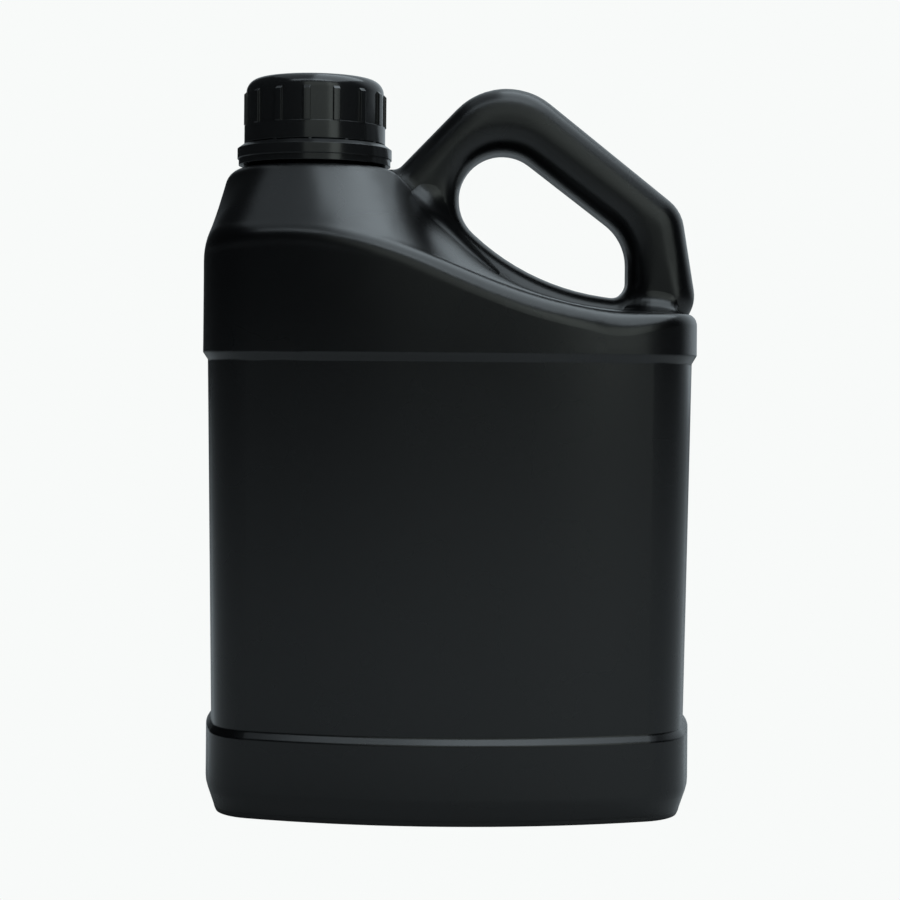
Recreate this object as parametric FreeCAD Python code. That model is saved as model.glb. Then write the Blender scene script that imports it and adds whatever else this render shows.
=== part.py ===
import FreeCAD, Part
import math
import os
from FreeCAD import Placement, Rotation, Vector

# A 5 litre blow-moulded jug with a through handle, and its screw cap with a tamper-evident ring.
# Millimetres. The origin is the centre of the base, +Z is up, the front faces -Y, the neck stands towards -X.

# Plan of the body: four bowed sides joined by tangent corner arcs. Every level is this outline, inset.
body_width = 197.0
body_depth = 138.0
front_bow_radius = 265.0
side_bow_radius = 170.0
corner_radius = 24.0

# Levels of the body, from the foot up.
foot_height = 2.0
base_round_height = 9.0
base_band_top = 30.5
panel_bottom = 33.0
panel_top = 173.5
band_bottom = 176.2
shoulder_edge_left = 222.0
shoulder_edge_right = 192.0
platform_height = 250.0

# How far each level stands in from the widest one.
foot_inset = 5.4
base_round_inset = 4.8
base_band_inset = 2.4
panel_bottom_inset = 4.3
panel_top_inset = 1.9

# Wall, edges and the raised middle of the base. The overlap is how deep one form is sunk in the next.
wall = 1.5
overlap = 3.0
ledge_fillet = 0.7
base_fillet = 8.0
rest_ring_width = 9.0
push_up_slope = 7.0
push_up_height = 3.0

# Shoulder: a platform round the neck, and a roof that falls away from it under the handle.
neck_x = -55.3
platform_radius = 34.0
platform_round = 8.0
roof_edge_round = 9.0
end_edge_round = 80.0
end_edge_height = 214.0
edge_fall_left = 33.5
edge_fall_right = 23.5
crest_half_width = 18.0
spine_offset = 6.0
right_fan_inset = 30.5
valley_x = neck_x + platform_radius
right_end = body_width / 2
right_fan_x = right_end - right_fan_inset

# The slices that shape it: turned about the neck, then side by side, then turned about the right end.
neck_fan = [165, 180, 195, 210, 222, 234, 246, 258, 270]
platform_slices = [neck_x + 13.3, neck_x + 23.3, neck_x + 31.3]
roof_slice_start = valley_x + 11.3
roof_slice_count = 6
right_fan = [290, 308, 322, 336, 348, 360, 372]

# Height of the roof beside the handle, from the platform down to the right end.
crest_line = [
    (valley_x - 2.7, platform_height - 1.4),
    (valley_x + 16.3, platform_height - 20.5),
    (valley_x + 38.3, shoulder_edge_right + 17.0),
    (right_end - 53.5, shoulder_edge_right + 5.6),
    (right_end - 20.5, shoulder_edge_right + 2.0),
]

# Handle loop with the core under it: outer outline and hole, as corners with their radii, in X and Z.
handle_half_width = 17.0
handle_edge_round = 10.0
handle_wall = 1.8
handle_core_chamfer = 6.0
handle_foot = panel_top + 0.5
handle_outer = [
    ((neck_x - 2 * spine_offset, handle_foot), 0.0),
    ((right_end - 12.5, handle_foot), 0.0),
    ((right_end - 0.3, shoulder_edge_right + 6.0), 14.0),
    ((right_end - 6.3, shoulder_edge_right + 42.5), 16.0),
    ((valley_x + 40.8, platform_height + 42.5), 28.0),
    ((valley_x, platform_height), 5.0),
    ((neck_x - 2 * spine_offset, platform_height), 0.0),
]
handle_hole = [
    ((valley_x + 24.4, platform_height + 24.8), 17.6),
    ((valley_x + 24.4, platform_height - 20.1), 17.6),
    ((valley_x + 52.6, shoulder_edge_right + 11.9), 95.0),
    ((right_end - 27.5, shoulder_edge_right + 6.3), 6.5),
    ((right_end - 27.5, shoulder_edge_right + 30.9), 21.0),
]

# Neck: a threaded finish with a foot that the ring stands on and a bead that holds it down.
neck_radius = 24.0
neck_bore_radius = 21.6
neck_rise = 32.0
neck_rim_chamfer = 0.8
neck_foot_radius = 28.6
neck_foot_height = 1.6
bead_radius = 26.6
bead_height = 2.4
bead_edge = 0.8
neck_top = platform_height + neck_rise
ring_seat = platform_height + neck_foot_height

# Screw thread, right-handed. The cap's ridge runs under the neck's ridge, a flank gap apart.
thread_pitch = 5.0
thread_turns = 1.6
thread_depth = 1.3
thread_root = 2.4
thread_crest = 1.2
thread_sink = 0.4
thread_gap = 0.3
thread_rise = 15.5
thread_start = platform_height + thread_rise

# Tamper-evident ring, which stays on the neck: a flare, a band and a lip turned in under the bead.
ring_height = 8.2
ring_radius = 31.1
ring_top_radius = 28.9
ring_flare_height = 1.6
ring_lip_height = 2.6
ring_lip_radius = 30.6
ring_hook_height = 3.5
ring_gap = 0.3
nib_count = 12
nib_width = 1.2
nib_depth = 0.9
nib_height = 0.5
ring_top = ring_seat + ring_height
bead_bottom = ring_seat + ring_hook_height + ring_gap

# Cap: a domed edge, ribs round the grip, a smooth skirt below them, which the nibs of the ring reach.
cap_radius = 27.7
cap_edge_round = 5.5
cap_top_wall = 2.3
skirt_radius = 28.4
skirt_height = 7.0
rib_count = 15
rib_width = 2.6
rib_radius = 28.8
rib_phase = -2.7
wad_thickness = 2.0
wad_clearance = 0.05
cap_bore = neck_radius + thread_depth + thread_gap
cap_ceiling = neck_top + wad_thickness
cap_top = cap_ceiling + cap_top_wall
skirt_bottom = ring_top + nib_height
grip_bottom = skirt_bottom + skirt_height
rib_top = cap_top - cap_edge_round


def circle_crossing(centre_a, radius_a, centre_b, radius_b):
    """The crossing of two circles that lies towards -Y."""
    gap = centre_b - centre_a
    along = (gap.Length ** 2 + radius_a ** 2 - radius_b ** 2) / (2 * gap.Length)
    aside = math.sqrt(radius_a ** 2 - along ** 2)
    unit = gap / gap.Length
    foot = centre_a + unit * along
    normal = Vector(unit.y, -unit.x, 0)
    return min((foot + normal * aside, foot - normal * aside), key=lambda point: point.y)


def outline(inset, z):
    """The body's plan at one level: eight tangent arcs, anticlockwise from the front's left end."""
    front_centre = Vector(0, front_bow_radius - body_depth / 2, 0)
    side_centre = Vector(body_width / 2 - side_bow_radius, 0, 0)
    corner = circle_crossing(
        front_centre, front_bow_radius - corner_radius, side_centre, side_bow_radius - corner_radius
    )
    radius = corner_radius - inset
    on_front = corner + (corner - front_centre).normalize() * radius
    on_side = corner + (corner - side_centre).normalize() * radius
    on_corner = corner + ((on_front + on_side) / 2 - corner).normalize() * radius
    reach_x = body_width / 2 - inset
    reach_y = body_depth / 2 - inset

    def at(point, side_x, side_y):
        return Vector(point.x * side_x, point.y * side_y, z)

    stops = [
        at(on_front, -1, 1), Vector(0, -reach_y, z), at(on_front, 1, 1),
        at(on_corner, 1, 1), at(on_side, 1, 1), Vector(reach_x, 0, z), at(on_side, 1, -1),
        at(on_corner, 1, -1), at(on_front, 1, -1), Vector(0, reach_y, z), at(on_front, -1, -1),
        at(on_corner, -1, -1), at(on_side, -1, -1), Vector(-reach_x, 0, z), at(on_side, -1, 1),
        at(on_corner, -1, 1), at(on_front, -1, 1),
    ]
    return Part.Wire([Part.Arc(*stops[i:i + 3]).toShape() for i in range(0, 16, 2)])


def offset_corners(corners, insets):
    """Corners of a polygon, anticlockwise, with each edge moved inwards by its own inset."""
    moved = []
    count = len(corners)
    for i in range(count):
        lines = []
        for a, b, inset in (
            (corners[i - 1], corners[i], insets[i - 1]),
            (corners[i], corners[(i + 1) % count], insets[i]),
        ):
            dx, dz = b[0] - a[0], b[1] - a[1]
            length = math.hypot(dx, dz)
            lines.append((a[0] - dz / length * inset, a[1] + dx / length * inset, dx / length, dz / length))
        (ax, az, ux, uz), (bx, bz, vx, vz) = lines
        t = ((bx - ax) * vz - (bz - az) * vx) / (ux * vz - uz * vx)
        moved.append((ax + ux * t, az + uz * t))
    return moved


def rounded_polygon(corners, radii, insets, flat=False):
    """A wire in the XZ plane: a polygon, anticlockwise as seen from the front, with round or flat corners."""
    count = len(corners)
    corners = offset_corners(corners, insets)
    stops = []
    for i in range(count):
        a, b, c = corners[i - 1], corners[i], corners[(i + 1) % count]
        into = Vector(b[0] - a[0], 0, b[1] - a[1]).normalize()
        out = Vector(c[0] - b[0], 0, c[1] - b[1]).normalize()
        turn = into.x * out.z - into.z * out.x
        here = Vector(b[0], 0, b[1])
        if radii[i] == 0:
            stops.append((here, None, here))
            continue
        radius = radii[i] - math.copysign(1, turn) * max(insets[i - 1], insets[i])
        half = into.getAngle(out) / 2
        start = here - into * (radius * math.tan(half))
        end = here + out * (radius * math.tan(half))
        bulge = (start + end) / 2 - here
        middle = here + bulge.normalize() * (radius / math.cos(half) - radius)
        stops.append((start, middle, end))
    edges = []
    for i in range(count):
        start, middle, end = stops[i]
        if middle is not None:
            corner = Part.LineSegment(start, end) if flat else Part.Arc(start, middle, end)
            edges.append(corner.toShape())
        edges.append(Part.LineSegment(end, stops[(i + 1) % count][0]).toShape())
    return Part.Wire(edges)


def stack(levels):
    """A solid through the outline at each (inset, height) level, with straight walls between."""
    return Part.makeLoft([outline(inset, z) for inset, z in levels], True, True)


def edges_at(shape, z):
    return [
        edge for edge in shape.Edges
        if abs(edge.BoundBox.ZMin - z) < 1e-4 and abs(edge.BoundBox.ZMax - z) < 1e-4
    ]


def lower_body(inset):
    """Base band, label panel: everything between the foot and the shoulder, or its cavity when inset."""
    taper = (panel_bottom_inset - panel_top_inset) / (panel_top - panel_bottom)
    top = band_bottom + overlap
    levels = [
        (base_round_inset, foot_height + inset), (base_band_inset, base_round_height),
        (base_band_inset, base_band_top), (panel_bottom_inset, panel_bottom),
        (panel_top_inset - taper * (top - panel_top), top),
    ]
    levels = [(level_inset + inset, z) for level_inset, z in levels]
    body = stack(levels)
    if inset:
        return body
    rims = edges_at(body, base_band_top) + edges_at(body, panel_bottom)
    body = body.makeFillet(ledge_fillet, rims)
    body = body.makeFillet(base_fillet, edges_at(body, base_round_height))
    return body.fuse(stack([(foot_inset, 0), (foot_inset, foot_height)]))


def smooth_fall(x):
    """Height of the roof's front edge: an S from the neck side down to the handle side."""
    start = edge_fall_left - body_width / 2
    end = right_end - edge_fall_right
    middle = (start + end) / 2
    half = (end - start) / 2
    share = max(-1.0, min(1.0, (x - middle) / half))
    drop = (shoulder_edge_left - shoulder_edge_right) / 2
    return shoulder_edge_left - drop - drop * math.sin(share * math.pi / 2)


def crest_height(x):
    """Height of the roof where it meets the handle, from the crest's curve."""
    curve = Part.BSplineCurve()
    curve.interpolate([Vector(px, 0, pz) for px, pz in crest_line])
    post = Part.makeLine(Vector(x, 0, 0), Vector(x, 0, 2 * platform_height))
    return curve.toShape().distToShape(post)[1][0][0].z


def wall_reach(start, direction):
    ray = Part.makeLine(start, start + direction * (2 * body_width))
    point = outline(0, 0).distToShape(ray)[1][0][0]
    return (point - start).Length


def shoulder_section(start, degrees, edge_height, edge_round, crest, inset):
    """One upright slice of the shoulder, from its spine out to the wall. The crest is (reach, height)."""
    direction = Vector(math.cos(math.radians(degrees)), math.sin(math.radians(degrees)), 0)
    reach = wall_reach(start, direction)
    ledge_slope = (band_bottom - panel_top) / panel_top_inset
    ledge_end = panel_top_inset + wall
    ledge_z = band_bottom - ledge_slope * ledge_end
    corners = [
        (spine_offset, ledge_z), (reach - ledge_end, ledge_z), (reach, band_bottom),
        (reach, edge_height), crest, (spine_offset, crest[1]),
    ]
    radii = [0, 0, 0 if inset else ledge_fillet, edge_round, platform_round, 0]
    wire = rounded_polygon(corners, radii, [0, inset, inset, inset, inset, 0], flat=inset > 0)
    wire.Placement = Placement(start, Rotation(Vector(0, 0, 1), degrees))
    return wire


def neck_fan_slice(degrees, inset):
    """A slice through the neck's axis: soft at the left end, crisp towards the front and back."""
    neck = Vector(neck_x, 0, 0)
    direction = Vector(math.cos(math.radians(degrees)), math.sin(math.radians(degrees)), 0)
    toward_front = abs(direction.y)
    front_height = smooth_fall(neck_x + direction.x * wall_reach(neck, direction))
    edge_height = end_edge_height + (front_height - end_edge_height) * toward_front
    edge_round = end_edge_round * (roof_edge_round / end_edge_round) ** toward_front
    return shoulder_section(neck, degrees, edge_height, edge_round, (platform_radius, platform_height), inset)


def roof_slice(x, degrees, inset):
    """A slice square to the front, beside the platform or beside the handle."""
    beside = abs(x - neck_x)
    crest_reach = math.sqrt(max(platform_radius ** 2 - beside ** 2, crest_half_width ** 2))
    crest_z = platform_height if x < crest_line[0][0] - 1 else crest_height(x)
    crest = (crest_reach, crest_z)
    return shoulder_section(Vector(x, 0, 0), degrees, smooth_fall(x), roof_edge_round, crest, inset)


def right_fan_slice(degrees, inset):
    crest = (crest_half_width, crest_height(right_fan_x))
    fan = Vector(right_fan_x, 0, 0)
    return shoulder_section(fan, degrees, shoulder_edge_right, roof_edge_round / 2, crest, inset)


def shoulder(inset):
    """The shoulder band, roof and platform: slices lofted round the front, then mirrored to the back."""
    roof_step = (right_fan_x - roof_slice_start) / (roof_slice_count - 1)
    roof = platform_slices + [roof_slice_start + roof_step * i for i in range(roof_slice_count)]
    slices = [neck_fan_slice(degrees, inset) for degrees in neck_fan]
    slices += [roof_slice(x, 270, inset) for x in roof]
    slices += [right_fan_slice(degrees, inset) for degrees in right_fan]
    front = Part.makeLoft(slices, True, False).common(
        Part.makeBox(2 * body_width, body_depth, 2 * platform_height, Vector(-body_width, -body_depth, 0))
    )
    return front.fuse(front.mirror(Vector(0, 0, 0), Vector(0, 1, 0)))


def slab(corners, inset, half_width):
    """An upright slab between -Y and +Y half widths, from an outline of corners with radii."""
    wire = rounded_polygon([spot for spot, radius in corners], [radius for spot, radius in corners],
                           [inset] * len(corners))
    block = Part.Face(wire).extrude(Vector(0, 2 * half_width, 0))
    block.translate(Vector(0, -half_width, 0))
    return block


def handle(inset):
    """The handle loop with the core under it, or its cavity when inset, with eased front and back edges."""
    half = handle_half_width - inset
    loop = slab(handle_outer, inset, half).cut(slab(handle_hole, -inset, body_depth))
    left, bottom = handle_outer[0][0]
    rims = []
    for face in loop.Faces:
        if abs(abs(face.CenterOfMass.y) - half) > 1e-3:
            continue
        for edge in face.Edges:
            box = edge.BoundBox
            if box.ZMax > bottom + overlap and box.XMax > left + overlap:
                rims.append(edge)
    if inset:
        return loop.makeChamfer(handle_core_chamfer, rims)
    return loop.makeFillet(handle_edge_round, rims)


def revolve(profile):
    """A solid turned about the neck's axis from (radius, height) corners."""
    points = [Vector(radius, 0, z) for radius, z in profile]
    face = Part.Face(Part.makePolygon(points + points[:1]))
    turned = face.revolve(Vector(0, 0, 0), Vector(0, 0, 1), 360)
    turned.translate(Vector(neck_x, 0, 0))
    return turned


def thread(surface_radius, start_z, outward):
    """A trapezoid ridge swept along the helix, rooted a little inside the surface that carries it."""
    side = 1 if outward else -1
    sunk = surface_radius - side * thread_sink
    tip = surface_radius + side * thread_depth
    helix = Part.makeHelix(thread_pitch, thread_pitch * thread_turns, surface_radius)
    half_root, half_crest = thread_root / 2, thread_crest / 2
    corners = [
        Vector(sunk, 0, -half_root), Vector(tip, 0, -half_crest),
        Vector(tip, 0, half_crest), Vector(sunk, 0, half_root),
    ]
    section = Part.makePolygon(corners + corners[:1])
    ridge = Part.Wire(helix.Edges).makePipeShell([section], True, True)
    ridge.translate(Vector(neck_x, 0, start_z))
    return ridge


def make_neck():
    """The neck's outside, sunk into the platform."""
    sunk = platform_height - 2 * overlap
    bead_top = bead_bottom + bead_height
    stem = revolve([
        (0, sunk), (neck_foot_radius, sunk), (neck_foot_radius, ring_seat), (neck_radius, ring_seat),
        (neck_radius, bead_bottom), (bead_radius, bead_bottom), (bead_radius, bead_bottom + bead_edge),
        (neck_radius, bead_top), (neck_radius, neck_top - neck_rim_chamfer),
        (neck_radius - neck_rim_chamfer, neck_top), (0, neck_top),
    ])
    return stem.fuse(thread(neck_radius, thread_start, True))


def push_up(inset):
    """The raised middle of the base, or the same form grown by the wall for the cavity to clear."""
    rim = foot_inset + rest_ring_width - inset
    return stack([(rim, inset - wall), (rim + push_up_slope, push_up_height + inset)])


def make_bottle():
    """The blown body with its handle and neck, all one hollow piece."""
    outside = shoulder(0)
    for form in (handle(0), make_neck(), lower_body(0)):
        outside = outside.fuse(form)
    outside = outside.cut(push_up(0))
    bore_foot = platform_height - 3 * overlap
    bore = revolve([
        (0, bore_foot), (neck_bore_radius, bore_foot),
        (neck_bore_radius, neck_top + overlap), (0, neck_top + overlap),
    ])
    floor = lower_body(wall).cut(push_up(wall))
    inside = shoulder(wall)
    for form in (handle(handle_wall), floor, bore):
        inside = inside.fuse(form)
    return outside.cut(inside)


def turned_copies(shape, count, phase):
    """Copies spaced evenly about the neck's axis, from a shape made at the front of it."""
    copies = []
    for number in range(count):
        copy = shape.copy()
        copy.rotate(Vector(neck_x, 0, 0), Vector(0, 0, 1), phase + 360 / count * number)
        copies.append(copy)
    return copies


def front_block(width, inner, outer, bottom, top):
    """A block on the front of the neck's axis, between two radii and two heights."""
    return Part.makeBox(width, outer - inner, top - bottom, Vector(neck_x - width / 2, -outer, bottom))


def make_cap():
    """The screw cap: shell, grip ribs and the inner screw ridge."""
    outside = revolve([
        (0, skirt_bottom), (skirt_radius, skirt_bottom), (skirt_radius, grip_bottom),
        (cap_radius, grip_bottom), (cap_radius, cap_top), (0, cap_top),
    ])
    rim = [edge for edge in edges_at(outside, cap_top) if edge.Length > cap_radius]
    outside = outside.makeFillet(cap_edge_round, rim)
    core = cap_bore + wad_clearance
    sleeve = revolve([
        (core, grip_bottom), (rib_radius, grip_bottom), (rib_radius, rib_top - rib_radius + cap_radius),
        (cap_radius, rib_top), (core, rib_top),
    ])
    block = front_block(rib_width, core, rib_radius + overlap, grip_bottom, rib_top)
    blocks = turned_copies(block, rib_count, rib_phase)
    ribs = sleeve.common(blocks[0].fuse(blocks[1:]))
    mouth = skirt_bottom - overlap
    inside = revolve([(0, mouth), (cap_bore, mouth), (cap_bore, cap_ceiling), (0, cap_ceiling)])
    ridge = thread(cap_bore, thread_start - thread_root - thread_gap, False)
    return outside.fuse(ribs).cut(inside).fuse(ridge)


def make_wad():
    """The foam disc between the neck's rim and the cap's ceiling."""
    radius = cap_bore - wad_clearance
    return revolve([(0, neck_top), (radius, neck_top), (radius, cap_ceiling), (0, cap_ceiling)])


def make_ring():
    """The tamper-evident ring, with its lip under the neck's bead and the nibs that held it to the cap."""
    inner = bead_radius + ring_gap
    hook = neck_radius + ring_gap
    hook_top = ring_seat + ring_hook_height
    lip_top = ring_seat + ring_lip_height
    ring = revolve([
        (hook, ring_seat), (ring_lip_radius, ring_seat), (ring_lip_radius, lip_top), (ring_radius, lip_top),
        (ring_radius, ring_top - ring_flare_height), (ring_top_radius, ring_top), (inner, ring_top),
        (inner, hook_top), (hook, hook_top),
    ])
    sunk = ring_top - nib_height
    nib = front_block(nib_width, skirt_radius - nib_depth, skirt_radius, sunk, skirt_bottom)
    return ring.fuse(turned_copies(nib, nib_count, 0))


def main():
    os.makedirs("parts", exist_ok=True)
    pieces = {
        "bottle": make_bottle(),
        "cap": make_cap(),
        "sealing_wad": make_wad(),
        "tamper_ring": make_ring(),
    }
    for name, shape in pieces.items():
        shape = shape.removeSplitter()
        print(name, shape.isValid(), len(shape.Solids), round(shape.Volume / 1000, 2), "cm3")
        shape.exportStep("parts/" + name + ".step")


main()
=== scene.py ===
import math

import bpy
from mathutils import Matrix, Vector
from mathutils.bvhtree import BVHTree


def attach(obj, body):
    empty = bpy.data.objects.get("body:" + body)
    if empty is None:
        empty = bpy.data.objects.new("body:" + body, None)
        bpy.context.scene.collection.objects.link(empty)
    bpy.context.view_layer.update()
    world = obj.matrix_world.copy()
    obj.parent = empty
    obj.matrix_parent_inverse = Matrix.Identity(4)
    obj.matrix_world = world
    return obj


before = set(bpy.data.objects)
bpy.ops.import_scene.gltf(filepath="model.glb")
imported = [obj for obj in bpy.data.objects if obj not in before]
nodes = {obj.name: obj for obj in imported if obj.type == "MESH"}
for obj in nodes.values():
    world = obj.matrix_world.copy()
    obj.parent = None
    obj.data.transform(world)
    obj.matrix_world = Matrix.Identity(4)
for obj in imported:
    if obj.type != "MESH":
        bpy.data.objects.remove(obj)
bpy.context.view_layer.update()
seenWhite = "f8faf9"  # the floor and the room, as the camera sees them
coolWhite = "e4f2fa"
plainWhite = "e6f2ec"


def toLinear(hexColour):
    channels = [int(hexColour[i:i + 2], 16) / 255 for i in (0, 2, 4)]
    linear = [c / 12.92 if c <= 0.04045 else ((c + 0.055) / 1.055) ** 2.4 for c in channels]
    return (*linear, 1)


# A setting goes to the node's attribute of that name where it has one, and otherwise to its input.
def addNode(tree, kind, settings=None, links=None):
    node = tree.nodes.new(kind)
    for name, value in (settings or {}).items():
        if isinstance(name, str) and hasattr(node, name):
            setattr(node, name, value)
        else:
            node.inputs[name].default_value = value
    for socket, source in (links or {}).items():
        tree.links.new(source, node.inputs[socket])
    return node


def newMaterial(name):
    material = bpy.data.materials.new(name)
    material.use_nodes = True
    tree = material.node_tree
    tree.nodes.clear()
    return material, tree


def newObject(name, data):
    obj = bpy.data.objects.new(name, data)
    bpy.context.scene.collection.objects.link(obj)
    return obj


# The camera sees one shader, and all other light meets the other.
def splitByCamera(tree, seen, met):
    path = addNode(tree, "ShaderNodeLightPath")
    return addNode(tree, "ShaderNodeMixShader", None, {0: path.outputs["Is Camera Ray"], 1: met, 2: seen})


# Common to all the plastics. Faces that meet at less than smoothDegrees are shaded as one.
shading = {"smoothDegrees": 30, "bevelSamples": 12, "grainDetail": 2.0, "cloudDetail": 3.0, "ior": 1.5}


def dress(obj, material):
    obj.data.materials.clear()
    obj.data.materials.append(material)
    bpy.context.view_layer.objects.active = obj
    for other in bpy.context.selected_objects:
        other.select_set(False)
    obj.select_set(True)
    bpy.ops.object.shade_smooth_by_angle(angle=math.radians(shading["smoothDegrees"]))
    obj.select_set(False)


# Plastic: a fine grain in its surface, a slow drift in its gloss, and edges softened by a bevel in shading.
# That bevel has one radius, or grows from one to another between two heights.
def makePlastic(name, look):
    material, tree = newMaterial(name)
    place = addNode(tree, "ShaderNodeTexCoord")
    grain = addNode(tree, "ShaderNodeTexNoise", {
        "Scale": 1000 / look["grainMm"], "Detail": shading["grainDetail"],
    }, {"Vector": place.outputs["Object"]})
    cloud = addNode(tree, "ShaderNodeTexNoise", {
        "Scale": 1000 / look["cloudMm"], "Detail": shading["cloudDetail"],
    }, {"Vector": place.outputs["Object"]})
    mean, spread = look["roughness"], look["roughnessSpread"]
    roughness = addNode(tree, "ShaderNodeMapRange", {"To Min": mean - spread, "To Max": mean + spread},
                        {"Value": cloud.outputs["Fac"]})
    soft = addNode(tree, "ShaderNodeBevel", {
        "samples": shading["bevelSamples"], "Radius": look["edgeSoftMm"] / 1000,
    })
    if "highSoftMm" in look:
        height = addNode(tree, "ShaderNodeSeparateXYZ", None, {"Vector": place.outputs["Object"]})
        lowEnd, highEnd = look["softRiseMm"]
        radius = addNode(tree, "ShaderNodeMapRange", {
            "From Min": lowEnd / 1000, "From Max": highEnd / 1000,
            "To Min": look["edgeSoftMm"] / 1000, "To Max": look["highSoftMm"] / 1000,
        }, {"Value": height.outputs["Z"]})
        tree.links.new(radius.outputs["Result"], soft.inputs["Radius"])
    bump = addNode(tree, "ShaderNodeBump", {"Distance": look["grainHeightMm"] / 1000, "Strength": 1.0},
                   {"Height": grain.outputs["Fac"], "Normal": soft.outputs["Normal"]})
    shader = addNode(tree, "ShaderNodeBsdfPrincipled", {
        "Base Color": toLinear(look["colour"]), "IOR": shading["ior"],
    }, {"Roughness": roughness.outputs["Result"], "Normal": bump.outputs["Normal"]})
    addNode(tree, "ShaderNodeOutputMaterial", None, {"Surface": shader.outputs["BSDF"]})
    return material


# Satin polyethylene: black, with a faint orange-peel grain from the blow mould that softens its highlights.
# Its edges look sharper on the body than on the handle, so their softness grows between two heights.
satin = {
    "colour": "040405", "roughness": 0.27, "roughnessSpread": 0.04, "grainMm": 1.4, "grainHeightMm": 0.012,
    "cloudMm": 45, "edgeSoftMm": 0.8, "highSoftMm": 5, "softRiseMm": (195, 215),
}
satinMaterial = makePlastic("satinBlackPolyethylene", satin)
dress(nodes["bottle"], satinMaterial)
print("bottle dressed")

# Blends: the soft hollows where the handle runs out into the shoulder. A ball rolls along each root, touching
# the handle's side and the shoulder, and the arc between its touches is the blend. The ball is small at both
# ends, and the lower its swell, the sooner it has its full size. All in metres.
blends = {
    "neckRootBlend": {"fromX": -0.014, "toX": 0.02, "ball": 0.014, "tip": 0.0018, "swell": 0.7},
    "legRootBlend": {"fromX": 0.0685, "toX": 0.0915, "ball": 0.0085, "tip": 0.0026, "swell": 0.3},
}
blendSteps = {"along": 64, "across": 14, "settling": 20}
handle = {"halfWidth": 0.017, "slack": 1e-5}  # the slack keeps the faces of its sides with the handle
wellAbove = 1.0


def surfaceTree(mesh, keep):
    corners = [vertex.co for vertex in mesh.vertices]
    faces = [tuple(face.vertices) for face in mesh.polygons if keep(face.center)]
    return BVHTree.FromPolygons(corners, faces)


# Starts on the shoulder beside the handle, then moves in Y and Z until both surfaces lie one radius away.
def restBall(handleTree, shoulderTree, x, radius):
    above = Vector((x, -handle["halfWidth"] - radius, wellAbove))
    centre = shoulderTree.ray_cast(above, Vector((0, 0, -1)))[0] + Vector((0, 0, radius))
    for _ in range(blendSteps["settling"]):
        toHandle = centre - handleTree.find_nearest(centre)[0]
        toShoulder = centre - shoulderTree.find_nearest(centre)[0]
        a, b = toHandle.normalized(), toShoulder.normalized()
        missA, missB = radius - toHandle.length, radius - toShoulder.length
        spread = a.y * b.z - a.z * b.y
        centre.y += (missA * b.z - missB * a.z) / spread
        centre.z += (missB * a.y - missA * b.y) / spread
    return centre, -a, -b


def makeBlend(name, blend, trees):
    points, faces = [], []
    row = blendSteps["across"] + 1
    for i in range(blendSteps["along"] + 1):
        t = i / blendSteps["along"]
        x = blend["fromX"] + t * (blend["toX"] - blend["fromX"])
        radius = blend["tip"] + (blend["ball"] - blend["tip"]) * math.sin(math.pi * t) ** blend["swell"]
        centre, toHandle, toShoulder = restBall(*trees, x, radius)
        for j in range(row):
            points.append(centre + radius * toHandle.slerp(toShoulder, j / blendSteps["across"]))
    for i in range(blendSteps["along"]):
        for j in range(blendSteps["across"]):
            corner = i * row + j
            faces.append((corner, corner + 1, corner + row + 1, corner + row))
    count = len(points)
    points += [Vector((p.x, -p.y, p.z)) for p in points]
    faces += [tuple(count + k for k in reversed(face)) for face in faces]
    mesh = bpy.data.meshes.new(name)
    mesh.from_pydata(points, [], faces)
    obj = newObject(name, mesh)
    dress(obj, satinMaterial)
    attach(obj, "jug")


bottleMesh = nodes["bottle"].data
rootTrees = (
    surfaceTree(bottleMesh, lambda centre: abs(centre.y) < handle["halfWidth"] + handle["slack"]),
    surfaceTree(bottleMesh, lambda centre: centre.y < -handle["halfWidth"] - handle["slack"]),
)
for name, blend in blends.items():
    makeBlend(name, blend, rootTrees)
print("blends laid")

# Glossy polypropylene: black, tight highlights with hardly any grain, as the injection-moulded cap shows.
gloss = {
    "colour": "1a1a1b", "roughness": 0.18, "roughnessSpread": 0.03, "grainMm": 0.9, "grainHeightMm": 0.004,
    "cloudMm": 18, "edgeSoftMm": 0.35,
}
glossMaterial = makePlastic("glossBlackPolypropylene", gloss)
dress(nodes["cap"], glossMaterial)
dress(nodes["tamper_ring"], glossMaterial)
print("cap and ring dressed")

# Closed-cell foam: off-white and matt, with small cells that break up the light.
foam = {
    "colour": "e6e5e0", "roughness": 0.85, "roughnessSpread": 0.05, "grainMm": 0.5, "grainHeightMm": 0.05,
    "cloudMm": 12, "edgeSoftMm": 0.2,
}
dress(nodes["sealing_wad"], makePlastic("offWhiteFoam", foam))
print("wad dressed")

# Floor: pale and plain, seen as clean white like the room.
floorSettings = {"reachM": 6.0, "colour": "d0d0d0", "roughness": 0.6}
reach = floorSettings["reachM"]
mesh = bpy.data.meshes.new("floor")
mesh.from_pydata(
    [(-reach, -reach, 0), (reach, -reach, 0), (reach, reach, 0), (-reach, reach, 0)], [], [(0, 1, 2, 3)]
)
floor = newObject("floor", mesh)
material, tree = newMaterial("paleFloor")
paint = addNode(tree, "ShaderNodeBsdfPrincipled",
                {"Base Color": toLinear(floorSettings["colour"]), "Roughness": floorSettings["roughness"]})
white = addNode(tree, "ShaderNodeEmission", {"Color": toLinear(seenWhite), "Strength": 1.0})
seen = splitByCamera(tree, white.outputs["Emission"], paint.outputs["BSDF"])
addNode(tree, "ShaderNodeOutputMaterial", None, {"Surface": seen.outputs["Shader"]})
mesh.materials.append(material)
print("floor laid")

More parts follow.
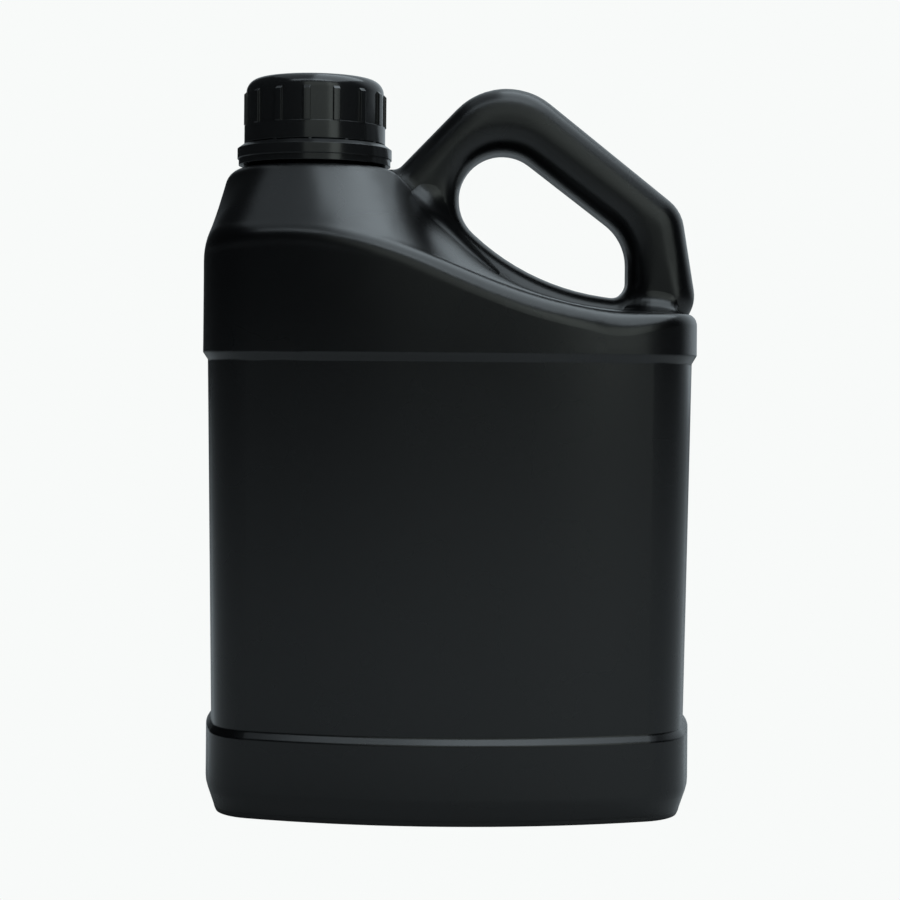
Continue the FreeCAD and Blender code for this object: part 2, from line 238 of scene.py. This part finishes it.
# Room: white to the camera. To the jug it is dim, with a pale wall behind it on the right. The wall fades in
# between two cosines of the angle from its middle.
room = {"wallSide": (0.46, 0.74, 0.49), "wallFade": (0.55, 0.98), "wall": 0.8, "dim": 0.022}
world = bpy.data.worlds.new("room")
bpy.context.scene.world = world
world.use_nodes = True
tree = world.node_tree
tree.nodes.clear()
place = addNode(tree, "ShaderNodeTexCoord")
toWall = addNode(tree, "ShaderNodeVectorMath", {"operation": "DOT_PRODUCT", 1: room["wallSide"]},
                 {0: place.outputs["Generated"]})
wall = addNode(tree, "ShaderNodeMapRange", {
    "interpolation_type": "SMOOTHSTEP", "From Min": room["wallFade"][0], "From Max": room["wallFade"][1],
    "To Min": room["dim"], "To Max": room["wall"],
}, {"Value": toWall.outputs["Value"]})
glow = addNode(tree, "ShaderNodeBackground", {"Color": toLinear(coolWhite)},
               {"Strength": wall.outputs["Result"]})
clean = addNode(tree, "ShaderNodeBackground", {"Color": toLinear(seenWhite), "Strength": 1.0})
seen = splitByCamera(tree, clean.outputs["Background"], glow.outputs["Background"])
addNode(tree, "ShaderNodeOutputWorld", None, {"Surface": seen.outputs["Shader"]})
print("room lit")

# Lamps: a broad one overhead for the shoulder with a dim one on its left, a strip above the front for the
# ledges, a tall one that draws the stripe down the cap, and a broad one before the jug. Each glow is its
# brightness as the jug mirrors it.
lamps = {
    "overhead": {
        "place": (0.48, -0.15, 1.5), "aim": (0.48, -0.15, 0), "width": 1.1, "height": 1.9, "glow": 2.4,
        "tint": coolWhite,
    },
    "overheadLeft": {
        "place": (-0.42, -0.15, 1.5), "aim": (-0.42, -0.15, 0), "width": 0.7, "height": 1.9, "glow": 0.45,
        "tint": coolWhite,
    },
    "strip": {
        "place": (-0.1, -0.85, 1.45), "aim": (0, 0, 0.15), "width": 1.5, "height": 0.3, "glow": 2.0,
        "tint": coolWhite,
    },
    "tall": {
        "place": (0.98, -1.51, 0.75), "aim": (0, 0, 0.25), "width": 0.5, "height": 1.2, "glow": 1.45,
        "tint": plainWhite,
    },
    "fill": {
        "place": (0.25, -2.2, 1.15), "aim": (0, 0, 0.2), "width": 1.8, "height": 1.4, "glow": 0.85,
        "tint": plainWhite,
    },
}
for name, lamp in lamps.items():
    light = bpy.data.lights.new(name, "AREA")
    light.shape = "RECTANGLE"
    light.size = lamp["width"]
    light.size_y = lamp["height"]
    light.energy = lamp["glow"] * math.pi * lamp["width"] * lamp["height"]
    light.color = toLinear(lamp["tint"])[:3]
    obj = newObject(name, light)
    obj.location = lamp["place"]
    obj.rotation_euler = (Vector(lamp["aim"]) - Vector(lamp["place"])).to_track_quat("-Z", "Y").to_euler()
print("lamps set")

# Camera: level, at about three fifths of the jug's height, square to its front, with a slight roll.
view = {
    "distance": 0.8, "height": 0.1726, "lens": 79.15, "sensor": 36, "rollDegrees": -0.487,
    "shiftX": 0.0002, "shiftY": -0.0964,
}
cameraData = bpy.data.cameras.new("camera")
cameraData.lens = view["lens"]
cameraData.sensor_width = view["sensor"]
cameraData.shift_x = view["shiftX"]
cameraData.shift_y = view["shiftY"]
camera = newObject("camera", cameraData)
camera.location = (0, -view["distance"], view["height"])
camera.rotation_euler = (math.radians(90), math.radians(view["rollDegrees"]), 0)
bpy.context.scene.camera = camera
bpy.context.scene.view_settings.view_transform = "Standard"
print("camera set")
